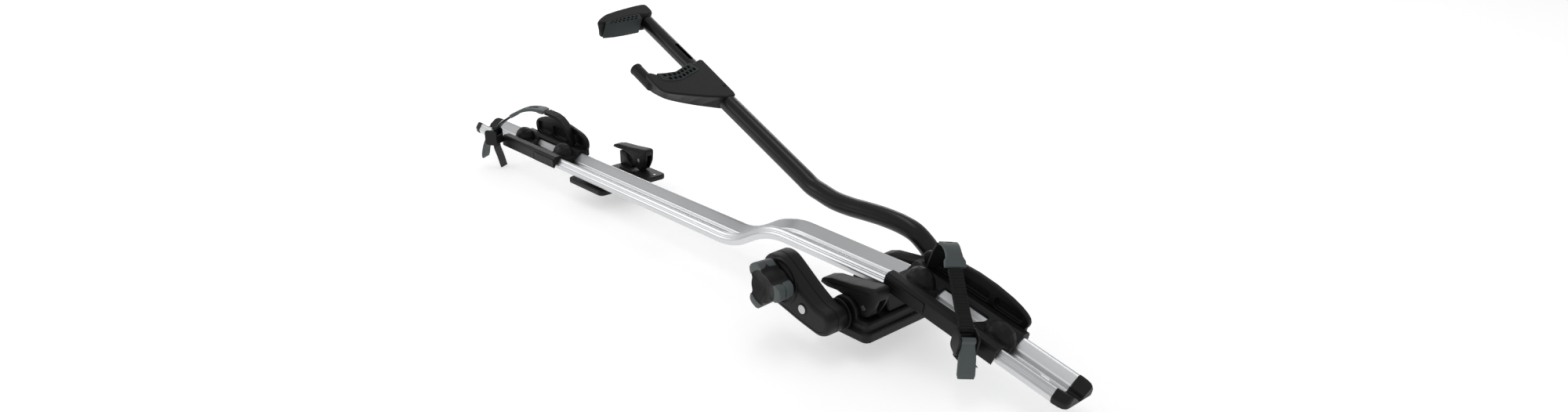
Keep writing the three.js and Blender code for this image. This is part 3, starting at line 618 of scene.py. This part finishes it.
def onFront(u, y, h):
    c, s = math.cos(math.radians(holder["noseAngle"])), math.sin(math.radians(holder["noseAngle"]))
    x0, y0, z0 = holder["noseOrigin"]
    return np.stack([x0 + u * c + h * s, y0 + y, z0 - u * s + h * c], axis=-1)


def onRear(u, y, h):
    return np.stack([holder["rearX"] - u, y, holder["rearHeight"] + h], axis=-1)


# ---- straps: a section carried along each strap's line, in its own skewed upright plane ----
rearStrap = {
    "from": (38, 33), "to": (186, -50), "place": onRear, "drift": (1, 0.3),
    "ratchet": [(132, 69), (146, 60), (161, 48), (171, 35), (173, 18), (172, 0), (170, -20), (169, -42)],
}
frontStrap = {
    "from": (27, 33), "to": (151, -50), "place": onFront, "drift": (-5, 0.95),
    "ratchet": [(68, 67.5), (88, 58), (105, 50), (125, 42), (144, 35), (152, 22), (153, 4), (152, -24)],
}
ratchet = {"thickness": 3.6, "width": 19.6, "pitch": 4.7, "tooth": 1.5, "rim": 1.5}


# strap points: d along the strap's plan direction, side square to it, up as in the holder
def onStrap(strap, d, side, up):
    direction = np.array(strap["to"], float) - np.array(strap["from"], float)
    turn = math.atan2(direction[1], direction[0])
    u = strap["from"][0] + d * math.cos(turn) - side * math.sin(turn)
    v = strap["from"][1] + d * math.sin(turn) + side * math.cos(turn)
    return strap["place"](u, v, up)


def squareTo(line):
    tangent = np.gradient(line, axis=0)
    tangent /= np.linalg.norm(tangent, axis=1, keepdims=True)
    return np.stack([-tangent[:, 1], tangent[:, 0]], axis=1)


# ladder strap: height over the line is a sawtooth of the distance along it, between two plain rims
def makeRatchet(name, strap, node):
    line, at = evenly(smoothLine(strap["ratchet"], 30), 420)
    half, base = ratchet["width"] / 2, ratchet["thickness"] / 2
    phase = (at / ratchet["pitch"]) % 1.0
    tooth = base - ratchet["tooth"] * np.where(phase < 0.72, phase / 0.72, (1 - phase) / 0.28)
    rimAt = half - ratchet["rim"]
    side = np.array([-half, half, half, rimAt, rimAt - 0.2, -rimAt + 0.2, -rimAt, -half])
    under, rim = np.full_like(at, -base), np.full_like(at, base - 0.5)
    height = np.stack([under, under, rim, rim, tooth, tooth, rim, rim], axis=1)
    points = line[:, None, :] + squareTo(line)[:, None, :] * height[..., None]
    d, up = points[..., 0], points[..., 1]
    y = np.broadcast_to(side, d.shape).copy()
    level, rate = strap["drift"]
    y = y + rate * np.maximum(0, level - up)
    newPiece(name, onStrap(strap, d, y, up), ringFaces(len(at), 8), node, sharp=30)


makeRatchet("rearRatchetStrap", rearStrap, "rear_holder_ratchet_strap")
makeRatchet("frontRatchetStrap", frontStrap, "front_holder_ratchet_strap")
print("straps made")


# ---- solids between two outlines, with the rim rounded over at both ends ----
def shrunk(ring, inset):
    tangent = np.roll(ring, -1, axis=0) - np.roll(ring, 1, axis=0)
    tangent /= np.maximum(np.linalg.norm(tangent, axis=1, keepdims=True), 1e-9)
    area = np.sum(ring[:, 0] * np.roll(ring[:, 1], -1) - ring[:, 1] * np.roll(ring[:, 0], -1))
    inward = np.stack([-tangent[:, 1], tangent[:, 0]], axis=1) * np.sign(area)
    return ring + inward * inset


# rings from low to high; near each end the inset is edge (1 - sin a) and the height edge (1 - cos a)
def stack(place, lowRing, highRing, low, high, lowEdge, highEdge):
    lowRing, highRing = np.asarray(lowRing, float), np.asarray(highRing, float)
    turns = np.linspace(0, np.pi / 2, 4)
    levels = [(lowRing, lowEdge * (1 - math.sin(a)), low + lowEdge * (1 - math.cos(a))) for a in turns]
    levels += [(highRing, highEdge * (1 - math.cos(a)), high - highEdge * (1 - math.sin(a))) for a in turns]
    return place(ringsAt(levels)), ringFaces(len(levels), len(lowRing))


# each level is an outline, how far it shrinks, and its height
def ringsAt(levels):
    return np.array([
        np.column_stack([shrunk(ring, inset), np.full(len(ring), high)]) for ring, inset, high in levels
    ])


# a plain prism to cut with
def cutter(place, ring, low, high):
    return stack(place, ring, ring, low, high, 0.0, 0.0)


def meshOf(name, parts):
    vertices, faces, count = [], [], 0
    for points, partFaces in parts:
        points = np.asarray(points, float).reshape(-1, 3)
        vertices.append(points)
        faces += [[i + count for i in face] for face in partFaces]
        count += len(points)
    mesh = bpy.data.meshes.new(name)
    mesh.from_pydata(np.vstack(vertices) * millimetre, [], faces)
    made = bmesh.new()
    made.from_mesh(mesh)
    bmesh.ops.recalc_face_normals(made, faces=made.faces)
    made.to_mesh(mesh)
    made.free()
    return mesh


# joins shells and softens them, so that joints become fillets, then cuts each list of shells away
def sculpted(name, parts, node, cuts=(), voxel=0.0, relax=0, sharp=32):
    source = linked(name + "Source", meshOf(name, parts))
    if voxel:
        soften(source, voxel, relax)
    tools = []
    for number, shells in enumerate(cuts):
        tools.append(linked(f"{name}Cut{number}", meshOf(f"{name}Cut{number}", shells)))
        cut = source.modifiers.new(f"cut{number}", "BOOLEAN")
        cut.operation = "DIFFERENCE"
        cut.object = tools[-1]
        cut.solver = "EXACT"
    finishPiece(name, applied(source, name, tools), node, sharp=sharp)


def circle(x, y, radius, count=40):
    turn = np.linspace(0, 2 * np.pi, count, endpoint=False)
    return np.stack([x + radius * np.cos(turn), y + radius * np.sin(turn)], axis=1)


makeTubes()
print("tubes made")


# ---- jaws: u and y measured from the arm's straight run, height from its axis ----
def onJaw(points):
    return onRun(points + np.array([arm["jaw"], 0.0, 0.0]))


def alongArm(radius, first, last, y=0.0, h=0.0, edge=0.0, count=40):
    def place(p):
        return onJaw(np.stack([p[..., 2], y + p[..., 0], h + p[..., 1]], axis=-1))

    ring = circle(0, 0, radius, count)
    return stack(place, ring, ring, first, last, edge, edge)


fixedJaw = {
    "top": [
        (-5, 6), (-3, 11), (4, 13), (96, 15), (99, 10), (92, -10), (87, -27), (77.5, -53),
        (79.5, -74), (83, -88), (92, -96), (90, -107), (68, -108), (48, -107), (38, -101),
        (30, -87), (20, -66), (8, -41), (-4, -8),
    ],
    "bottom": [
        (0, 6), (1, 11), (6, 13), (96, 15), (99, 10), (92, -10), (87, -27), (77.5, -53),
        (79.5, -72), (82, -82), (90, -87), (90, -97), (78, -98), (66, -93), (55, -87),
        (46, -78), (34, -62), (22, -44), (1, -7),
    ],
    "half": 15.4, "finger": (10.3, 76.0, 126.8, -97.9, -1.3), "rivet": (22, 5.5, 2.6),
    "padBack": [(73, -8), (66, -31), (58.5, -54), (60, -72), (66, -88)],
    "padFront": [(94.5, -13), (90, -27), (80.5, -53), (82.5, -74), (85.5, -88)],
    "padLow": -12.6,
}
movingJaw = {
    "top": [
        (268, 8), (264, 14), (246, 14), (238, 9), (236, -4), (240, -17), (239, -48), (233, -79),
        (234, -94), (236, -106), (244, -99), (251, -88), (257, -76), (262, -51), (267, -12),
    ],
    "bottom": [
        (268, 8), (264, 14), (246, 14), (238, 9), (234, -4), (236, -17), (236, -48), (233, -79),
        (234, -88), (238, -93), (244, -92), (250, -86), (256, -75), (261, -51), (266, -12),
    ],
    "half": 16.4,
    "padBack": [(240.5, -18), (240, -48), (236, -72), (235.5, -90)],
    "padFront": [(227.5, -20), (226.5, -48), (226.8, -72), (229.5, -93)],
    "padLow": -13.0,
}


# the point a share of the way from one line to the other, at a share of their lengths
def between(back, front, share, along, count=160):
    def pick(line):
        even, _ = evenly(np.asarray(line, float), count)
        return np.stack([np.interp(along * (count - 1), np.arange(count), even[:, k]) for k in (0, 1)], axis=-1)

    return pick(back) * (1 - share) + pick(front) * share


# a rubber pad: a rim round its outline, two staggered rows of square cells sunk in its upper side
def makePad(name, node, jaw, cells, depth):
    back, front = jaw["padBack"], jaw["padFront"]
    outline = rounded(np.array(back + front[::-1], float), 1.6, 4)
    solid = [stack(onJaw, outline, outline, jaw["padLow"], jaw["half"] + 0.45, 1.0, 0.5)]
    holes = []
    for row, (low, high) in enumerate([(0.15, 0.45), (0.57, 0.86)]):
        for number in range(cells):
            first = 0.06 + (number + 0.5 * row) * 0.88 / (cells + 0.5)
            last = first + 0.66 * 0.88 / (cells + 0.5)
            corners = ((low, first), (low, last), (high, last), (high, first))
            quad = rounded([between(back, front, share, along) for share, along in corners], 0.5, 3)
            holes.append(cutter(onJaw, quad, jaw["half"] - depth, jaw["half"] + 6))
    sculpted(name, solid, node, [holes])


# the pad's seat: the pad's back line moved off by the first amount, its front line by the second
def padSeat(jaw, backOff, frontOff):
    back = [(x + backOff, y) for x, y in jaw["padBack"]]
    front = [(x + frontOff[0], y + frontOff[1]) for x, y in jaw["padFront"][::-1]]
    return [cutter(onJaw, rounded(back + front, 1.2, 4), jaw["padLow"] - 0.3, jaw["half"] + 8)]


def makeJaws():
    top, bottom = rounded(fixedJaw["top"], 5.0, 6), rounded(fixedJaw["bottom"], 5.0, 6)
    body = stack(onJaw, bottom, top, -fixedJaw["half"], fixedJaw["half"], 4.0, 2.2)
    radius, first, last, y, h = fixedJaw["finger"]
    finger = alongArm(radius, first, last, y, h, 2.2)
    band = alongArm(radius + 0.5, last - 5.5, last - 1.2, y, h, 0.8)
    armBore = [alongArm(arm["radius"] + 0.35, -60, arm["end"] - arm["jaw"] + 0.5, count=48)]
    sliderBore = [alongArm(sliderSize["radius"] + 0.4, 60, 160, count=48)]
    pocket = padSeat(fixedJaw, -0.6, (12, 0.6))
    rivet = [cutter(onJaw, circle(*fixedJaw["rivet"]), fixedJaw["half"] - 0.9, fixedJaw["half"] + 3)]
    sculpted("fixedJaw", [body, finger, band], "fixed_jaw", [armBore, sliderBore, pocket, rivet], 0.75, 7)
    makePad("fixedJawPad", "fixed_jaw_pad", fixedJaw, 7, 7.0)
    top, bottom = rounded(movingJaw["top"], 5.0, 6), rounded(movingJaw["bottom"], 5.0, 6)
    body = stack(onJaw, bottom, top, -movingJaw["half"], movingJaw["half"], 4.0, 3.2)
    socket = [alongArm(sliderSize["radius"] + 0.35, 150, sliderSize["outer"] - arm["jaw"] + 0.4, count=48)]
    sculpted("movingJaw", [body], "moving_jaw", [socket, padSeat(movingJaw, 0.5, (-12, -3))], 0.75, 5)
    makePad("movingJawPad", "moving_jaw_pad", movingJaw, 7, 6.0)


makeRail()
print("rail made")
makeJaws()
print("jaws made")


# ---- knob housing: two shells that meet without a step, the cover's face inside a bead ----
housing = {
    "back": -89.0, "split": -108.0, "face": -126.9, "seam": 0.25,
    "line": [
        (14, 15), (-5, 19), (-26, 31), (-70, 62), (-80, 67.5), (-92, 69), (-104, 66), (-111, 58), (-115, 40),
        (-114, 20), (-107, 6), (-98, 0), (-67, -7.5), (-43, -14), (-12, -20.5), (0, -22.5), (13, -18),
        (20, -5), (20, 6),
    ],
    "coverEdge": [
        (-117.0, 0.05), (-121.0, 0.4), (-123.4, 1.2), (-125.2, 2.6), (-126.3, 4.4), (-126.9, 6.0),
        (-126.9, 6.8), (-126.35, 7.1), (-126.35, 7.5), (-126.65, 7.9), (-126.7, 10.5),
    ],
    "knob": (-75.11, 35.33), "knobBore": 6.5, "collar": (29.0, 33.5, 1.0),
    "lock": (-31.2, 8.72), "lockRim": (7.0, 8.6, 0.5), "shaftBore": 12.9,
    "pivotRing": [
        (-88.9, 22.5), (-88.0, 23.0), (-87.6, 23.0), (-87.6, 20.5), (-87.2, 20.5), (-87.2, 13.0), (-88.9, 13.0)
    ],
}


def onSide(points):
    return np.stack([points[..., 0], points[..., 2], arm["pivotHeight"] + points[..., 1]], axis=-1)


# a turned ring on the arm's side: each row is a distance along Y and a radius
def turnedRing(name, x, z, rows, count):
    points = np.array([np.column_stack([circle(x, z, radius, count), np.full(count, y)]) for y, radius in rows])
    newPiece(name, onSide(points), tubeFaces(len(rows), count), body="arm", slot="black_plastic")


def collarRows(inner, outer, proud):
    front, back = housing["face"] - proud, housing["face"] + 0.3
    return [
        (back, outer), (front + 0.4, outer), (front, outer - 0.5),
        (front, inner + 0.5), (front + 0.4, inner), (back, inner),
    ]


def makeHousing():
    ring, _ = evenly(smoothLine(rounded(housing["line"], 9.0, 4), 2), 260)
    face, split, back = housing["face"], housing["split"], housing["back"]
    levels = [(split - housing["seam"], 0.5), (split - 0.9, 0.0), *housing["coverEdge"]]
    rings = ringsAt([(ring, inset, y) for y, inset in levels])
    cover = (onSide(rings), ringFaces(len(rings), len(ring)))
    kx, kz = housing["knob"]
    lx, lz = housing["lock"]
    seat = [cutter(onSide, circle(kx, kz, housing["collar"][0], 64), face - 8, face + 0.1)]
    bore = [cutter(onSide, circle(kx, kz, housing["knobBore"]), face - 8, split - 3)]
    lockHole = [cutter(onSide, circle(lx, lz, housing["lockRim"][0]), face - 8, face + 15)]
    sculpted("housingCover", [cover], "housing_cover", [seat, bore, lockHole])
    turnedRing("knobCollar", kx, kz, collarRows(*housing["collar"]), 72)
    turnedRing("lockRim", lx, lz, collarRows(*housing["lockRim"]), 72)
    body = stack(onSide, ring, ring, split + housing["seam"], back, 0.5, 3.0)
    hole = [cutter(onSide, circle(0, 0, housing["shaftBore"], 56), back - 9, back + 5)]
    sculpted("housingBody", [body], "housing_body", [hole])
    turnedRing("pivotRing", 0, 0, housing["pivotRing"], 64)


makeHousing()
print("housing made")


# ---- knob: three lobes; radius = hub + lobe exp(-(angle off the lobe / spread)^4) ----
knob = {
    "back": -128.2, "front": -160.0, "hub": 22.5, "lobe": 13.6, "spread": 0.46, "first": 120.0,
    "dish": 7.0, "gripFrom": 26.5, "gripHalf": 0.46, "gripBack": -133.0, "proud": 0.45,
    "profile": [
        (0.0, 0.72), (0.6, 0.80), (3.0, 0.84), (8.0, 0.90), (14.0, 0.96), (20.0, 1.0), (27.0, 1.0),
        (30.2, 0.975), (31.4, 0.94), (31.8, 0.89),
    ],
    "faceShares": (0.8, 0.66, 0.5, 0.34, 0.18, 0.06),
}


def offLobe(angle):
    third = 2 * np.pi / 3
    return (angle - math.radians(knob["first"]) + third / 2) % third - third / 2


def knobRadius(angle):
    return knob["hub"] + knob["lobe"] * np.exp(-(np.abs(offLobe(angle)) / knob["spread"]) ** 4)


def onKnob(angle, radius, y):
    kx, kz = housing["knob"]
    return np.stack([kx + radius * np.cos(angle), y, arm["pivotHeight"] + kz + radius * np.sin(angle)], axis=-1)


# the hub's radius shrinks less between the lobes than on them, and its face is dished
def makeKnob():
    angle = np.linspace(0, 2 * np.pi, 180, endpoint=False)
    full = knobRadius(angle) - 0.3
    lobed = (full - knob["hub"]) / knob["lobe"]
    rows = []
    for depth, share in knob["profile"]:
        kept = share * lobed + (1 - (1 - share) * 0.35) * (1 - lobed)
        rows.append(onKnob(angle, full * kept, np.full_like(angle, knob["back"] - depth)))
    rim = knob["profile"][-1][1]
    for share in knob["faceShares"]:
        swell = 2.5 * (1 - lobed) * math.sin(math.pi * min(1, share / rim))
        sink = knob["dish"] * (1 - share / rim) ** 1.3 + swell
        rows.append(onKnob(angle, full * share, knob["front"] + sink * np.ones_like(angle)))
    rows = np.array(rows)
    newPiece("knobHub", rows, ringFaces(len(rows), len(angle)), "knob", sharp=60)
    for number in range(3):
        centre = math.radians(knob["first"] + 120 * number)
        sweep = np.linspace(centre - knob["gripHalf"], centre + knob["gripHalf"], 40)
        swell = 1 - np.abs(np.linspace(-1, 1, 40)) ** 8
        outer = knobRadius(sweep) + knob["proud"] * swell
        section = rounded(np.array([(0, 0), (1, 0.0), (1, 1), (0, 1)], float), [0.02, 0.12, 0.12, 0.02], 6)
        radius = knob["gripFrom"] - 1 + (outer - knob["gripFrom"] + 1)[:, None] * section[None, :, 0]
        taper = 0.90 + 0.10 * section[None, :, 1]
        depth = knob["gripBack"] + (knob["front"] - 0.5 - knob["gripBack"]) * section[:, 1]
        points = onKnob(sweep[:, None], radius * (taper * 0.5 + 0.5), np.broadcast_to(depth, radius.shape))
        faces = ringFaces(40, len(section))
        newPiece(f"knobGrip{number + 1}", points, faces, f"knob_grip_{number + 1}", sharp=40)


makeKnob()
print("knob made")


# ---- clamp levers: a wedge-shaped handle over a forked block that swings clear of the deck ----
frontLever = {"tall": 0.92, "width": 24.0, "clear": 14.4, "heel": (20.5, 6.5)}
levers = {
    "front_near_lever": {**frontLever, "at": (28.0, -59.0, 43.0)},
    "front_far_lever": {**frontLever, "at": (28.0, 59.0, 43.0)},
    "rear_lever": {"tall": 0.68, "width": 18.0, "clear": 18.8, "heel": (23.0, 3.5), "at": (-700.5, 92.0, 30.5)},
}
leverShape = {
    "top": [(-82, 12), (-79, 20), (-62, 26), (-20, 31), (20, 38), (25.5, 35)],
    "under": [(-24, 3), (-36, 6.5), (-50, 9), (-69, 8)],
    "groove": [(-62, 19), (-30, 23), (10, 27), (12, 25.6), (-28, 21.4), (-60, 17.4)],
    "arc": [(0.93, -0.36), (0.62, -0.78), (0, -1), (-0.62, -0.78)],
    "grooveDepth": 0.7, "bore": 4.2, "rim": 1.6,
}


# points from a lever's pin: along X, then up, then along Y
def fromPin(node):
    x0, y0, z0 = levers[node]["at"]
    return lambda p: np.stack([x0 + p[..., 0], y0 + p[..., 2], z0 + p[..., 1]], axis=-1)


def makeLever(node, lever):
    tall, half, clear = lever["tall"], lever["width"] / 2, lever["clear"]
    fork = lever["width"] / 4 + 0.4
    arc = [(x * clear, z * clear) for x, z in leverShape["arc"]]
    top = [(x, z * tall) for x, z in leverShape["top"]]
    outline = rounded(top + [(25, 17), lever["heel"]] + arc + [(-18, -2)] + leverShape["under"], 2.6, 5)
    place = fromPin(node)
    body = stack(place, outline, outline, -half, half, leverShape["rim"], leverShape["rim"])
    roof = min(17.0, 25 * tall - 3)
    slot = [cutter(place, rectangle(-17, -40, 60, roof, 4.0, 5), -fork, fork)]
    groove = rounded([(x, z * tall) for x, z in leverShape["groove"]], 0.6, 3)
    depth = leverShape["grooveDepth"]
    grooves = [cutter(place, groove, side * half - depth, side * half + depth) for side in (-1, 1)]
    bore = [cutter(place, circle(0, 0, leverShape["bore"]), -half - 4, half + 4)]
    sculpted(camel(node), [body], node, [slot, bore, grooves])


for leverNode, leverSize in levers.items():
    makeLever(leverNode, leverSize)


# ---- rear foot's top: a bracket under the handle, a rib beside it and a screw ----
rearDeck = {
    "bracket": [
        (-61, -19.9), (-61, 5.6), (-57, 6.6), (-42, 5.4), (-38.5, 3.5), (-36, -7), (-23, -16), (-23, -19.9)
    ],
    "bracketHalf": 8.0, "rib": (-740.5, 66.4, -694.5, 71.6), "ribHigh": 13.4,
    "screw": (-661.0, 90.0, 3.0), "screwHigh": 12.3, "top": 11.0,
}


def makeRearDeck():
    def keep(name, solid, slot="black_plastic"):
        newPiece(name, *solid, body=bodyOf["rear_foot_base"], slot=slot)

    ring, half, low = rounded(rearDeck["bracket"], 1.6, 5), rearDeck["bracketHalf"], rearDeck["top"] - 0.4
    keep("rearFootBracket", stack(fromPin("rear_lever"), ring, ring, -half, half, 0.8, 0.8))
    ring = rectangle(*rearDeck["rib"], 2.4, 6)
    keep("rearFootRib", stack(np.asarray, ring, ring, low, rearDeck["ribHigh"], 0.0, 0.9))
    ring = circle(*rearDeck["screw"], 32)
    keep("rearFootScrew", stack(np.asarray, ring, ring, low, rearDeck["screwHigh"], 0.0, 1.0), "bright_steel")


makeRearDeck()
print("levers made")


# ---- strap pads, buckle levers and plates ----
# a band of changing width and thickness along a strap's line, with rounded edges
def strapBand(strap, points, widths, thicknesses, first=0.0, last=1.0, steps=60):
    line, _ = evenly(smoothLine(points, 40), 400)
    share = np.linspace(first, last, steps)
    line = np.stack([np.interp(share, np.linspace(0, 1, 400), line[:, k]) for k in (0, 1)], axis=1)
    width, thick = (np.interp(share, *zip(*sizes)) for sizes in (widths, thicknesses))
    section = rectangle(-10, -2.5, 10, 2.5, 1.3, 5) / (10, 2.5)
    side = section[None, :, 0] * width[:, None] / 2
    lifted = squareTo(line)[:, None] * (section[None, :, 1, None] * thick[:, None, None] / 2)
    d, up = np.moveaxis(line[:, None] + lifted, -1, 0)
    return onStrap(strap, d, side, up), ringFaces(steps, len(section))


strapPads = {
    "front_holder_strap_link": {
        "strap": frontStrap, "line": [(16, 73.5), (26, 80), (40, 81.5), (54, 78), (66, 69)],
        "width": [(0, 20), (0.12, 25), (0.3, 24), (0.6, 22), (0.74, 23), (0.84, 29), (1, 29)],
        "thick": [(0, 4.5), (0.5, 5), (0.75, 6), (0.85, 7.5), (1, 7.5)], "slots": [(0.16, 0.26, 9)],
    },
    "rear_holder_strap_link": {
        "strap": rearStrap, "line": [(56, 85), (75, 88.5), (95, 86.5), (114, 79.5), (130, 70)],
        "width": [(0, 24), (0.1, 28), (0.3, 26), (0.85, 26), (0.93, 28), (1, 24)],
        "thick": [(0, 7), (0.12, 7), (0.2, 5.5), (0.8, 5.5), (0.9, 7), (1, 7)],
        "slots": [(0.22, 0.48, 8), (0.56, 0.76, 8)],
    },
}
buckleLevers = {
    "front_holder_buckle_lever": {"strap": frontStrap, "line": [(163, 26), (171, 12), (179, -3), (186, -16)]},
    "rear_holder_buckle_lever": {"strap": rearStrap, "line": [(183, 30), (190, 16), (197, -3), (201, -22)]},
}
leverBand = {
    "width": [(0, 18), (0.2, 19), (0.45, 23), (0.9, 24), (1, 21)],
    "thick": [(0, 5), (0.5, 5.4), (0.85, 5.0), (1, 3.4)],
    "hub": 4.4, "hubHalf": 9.6,
}


# a short cylinder across the strap, round a buckle lever's axle
def hubAt(strap, point, radius, half):
    turns = circle(0, 0, radius, 28)
    side = np.array([-half, half])[:, None]
    d, up = (np.broadcast_to(point[k] + turns[:, k], (2, 28)) for k in (0, 1))
    return onStrap(strap, d, side, up), ringFaces(2, 28)


def makeStrapPieces():
    for node, pad in strapPads.items():
        solid = strapBand(pad["strap"], pad["line"], pad["width"], pad["thick"], 0.01, 0.99)
        slots = [
            strapBand(pad["strap"], pad["line"], [(0, wide), (1, wide)], [(0, 30), (1, 30)], first, last, 14)
            for first, last, wide in pad["slots"]
        ]
        sculpted(camel(node), [solid], node, [slots])
    for node, lever in buckleLevers.items():
        solid = strapBand(lever["strap"], lever["line"], leverBand["width"], leverBand["thick"])
        hub = hubAt(lever["strap"], lever["line"][0], leverBand["hub"], leverBand["hubHalf"])
        sculpted(camel(node), [solid, hub], node, (), 0.55, 4)


makeStrapPieces()
print("strap pieces made")


plate = {"from": (1.0, 2.0), "to": (73.0, 17.5), "corner": 3.0, "y": (-38.8, -37.35), "frame": 1.6, "sink": 0.5}


# a plate with a raised frame: rings step in at the front, then back by the sink
def makePlate(name, node, place):
    ring = rectangle(*plate["from"], *plate["to"], plate["corner"], 8)
    front, back = plate["y"]
    levels = [
        (back, 0.3), (back - 0.3, 0.0), (front + 0.4, 0.0), (front, 0.4),
        (front, plate["frame"]), (front + plate["sink"], plate["frame"] + 0.5),
    ]
    rings = ringsAt([(ring, inset, y) for y, inset in levels])
    newPiece(name, place(rings[..., 0], rings[..., 2], rings[..., 1]), ringFaces(len(rings), len(ring)), node)


makePlate("frontHolderPlate", "front_holder_plate", onFront)
makePlate("rearHolderPlate", "rear_holder_plate", onRear)
print("plates made")


# ---- everything else from the frame ----
mouldedPieces = {
    "front_foot_base": (1.1, 5), "rear_foot_base": (1.0, 4),
    "front_holder_tray": (0.8, 3), "rear_holder_tray": (0.8, 3),
    "front_holder_wing": (0.8, 4), "rear_holder_wing": (0.8, 4),
    "front_holder_strap_anchor": (0.6, 6), "rear_holder_strap_anchor": (0.6, 6),
    "front_holder_buckle": (0.5, 3), "rear_holder_buckle": (0.5, 3),
    "front_end_cap": (0.7, 8), "rear_end_cap": (0.7, 8),
    "front_bridge": (0.9, 3), "arm_socket": (0.8, 3),
}


for node, (voxel, relax) in mouldedPieces.items():
    moulded(node, voxel, relax)
for node in sorted(name for name, part in frame["nodes"].items() if not part.hide_render):
    crisp(node)
print("moulded pieces made")
